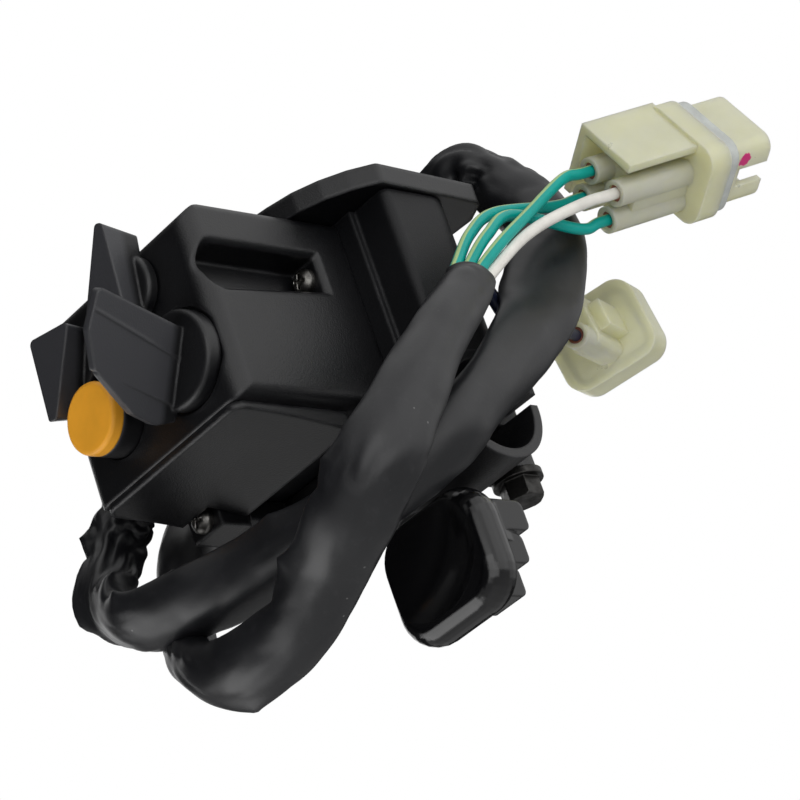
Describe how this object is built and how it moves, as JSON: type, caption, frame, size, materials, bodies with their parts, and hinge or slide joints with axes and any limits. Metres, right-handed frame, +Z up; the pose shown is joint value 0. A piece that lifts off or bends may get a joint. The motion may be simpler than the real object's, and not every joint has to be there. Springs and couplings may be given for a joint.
{
  "type": "handlebar switch cluster",
  "caption": "Left-hand handlebar switch cluster with turning knobs, a push button, a thumb lever, a split bar clamp and a sleeved harness with sealed connectors.",
  "frame": {"origin": "centre of the handlebar bore, at the clamp", "axes": "+X forward (the rider's plate faces -X), +Y outboard along the handlebar, +Z up"},
  "size_m": [0.1567, 0.1385, 0.1239],
  "materials": {
    "case_black": "satin",
    "knob_black": "satin",
    "cap_black": "satin",
    "lever_black": "gloss",
    "button_orange": "gloss",
    "dark_zinc": "dark zinc",
    "spring_steel": "bright",
    "contact_brass": "bright",
    "board_brown": "matt",
    "rotor_natural": "matt",
    "sleeve_vinyl": "soft satin",
    "wire_green": "satin",
    "wire_white": "satin",
    "wire_dark": "satin",
    "connector_natural": "milky",
    "seal_grey": "matt",
    "seal_brown": "matt"
  },
  "bodies": {
    "housing": {"switch_case": "case_black", "bottom_cover": "case_black", "clamp_body": "case_black", "top_hood": "case_black", "clamp_cap": "cap_black", "clamp_bolts": "dark_zinc", "case_screws": "dark_zinc", "contact_base": "board_brown", "contact_pins": "contact_brass", "button_spring": "spring_steel", "lever_washer": "dark_zinc", "lever_bolt": "dark_zinc", "harness_grommet": "sleeve_vinyl", "harness_sleeve": "sleeve_vinyl", "green_wire_a": "wire_green", "green_wire_b": "wire_green", "green_wire_c": "wire_green", "white_wire": "wire_white", "dark_wire_a": "wire_dark", "dark_wire_b": "wire_dark", "main_connector": "connector_natural", "main_connector_seal": "seal_grey", "main_wire_seals": "seal_brown", "main_terminals": "contact_brass", "small_connector": "connector_natural", "small_connector_seal": "seal_grey", "small_wire_seals": "seal_brown", "small_terminals": "contact_brass"},
    "light_switch": {"light_knob": "knob_black", "light_rotor": "rotor_natural"},
    "stop_switch": {"stop_knob": "knob_black", "stop_rotor": "rotor_natural"},
    "signal_switch": {"signal_knob": "knob_black", "signal_rotor": "rotor_natural"},
    "push_button": {"button_cap": "button_orange", "button_stem": "knob_black", "button_contact": "contact_brass"},
    "choke_lever": {"thumb_lever": "lever_black", "lever_bush": "contact_brass"}
  },
  "joints": [
    {"name": "light_turn", "type": "hinge", "parent": "housing", "child": "light_switch", "pos_m": [-0.0562, 0.011, 0.0215], "axis": [1, 0, 0], "range_deg": [0, 40]},
    {"name": "stop_turn", "type": "hinge", "parent": "housing", "child": "stop_switch", "pos_m": [-0.0562, 0.0184, 0.043], "axis": [1, 0, 0], "range_deg": [-25, 25]},
    {"name": "signal_turn", "type": "hinge", "parent": "housing", "child": "signal_switch", "pos_m": [-0.0562, 0.0405, 0.0384], "axis": [1, 0, 0], "range_deg": [0, 35]},
    {"name": "button_push", "type": "slide", "parent": "housing", "child": "push_button", "axis": [1, 0, 0], "range_m": [0, 0.003], "stiffness_N_per_m": 400, "deforming": ["button_spring"]},
    {"name": "lever_turn", "type": "hinge", "parent": "housing", "child": "choke_lever", "pos_m": [0.002, 0.012, -0.024], "axis": [0, 0, 1], "range_deg": [0, 40]}
  ]
}
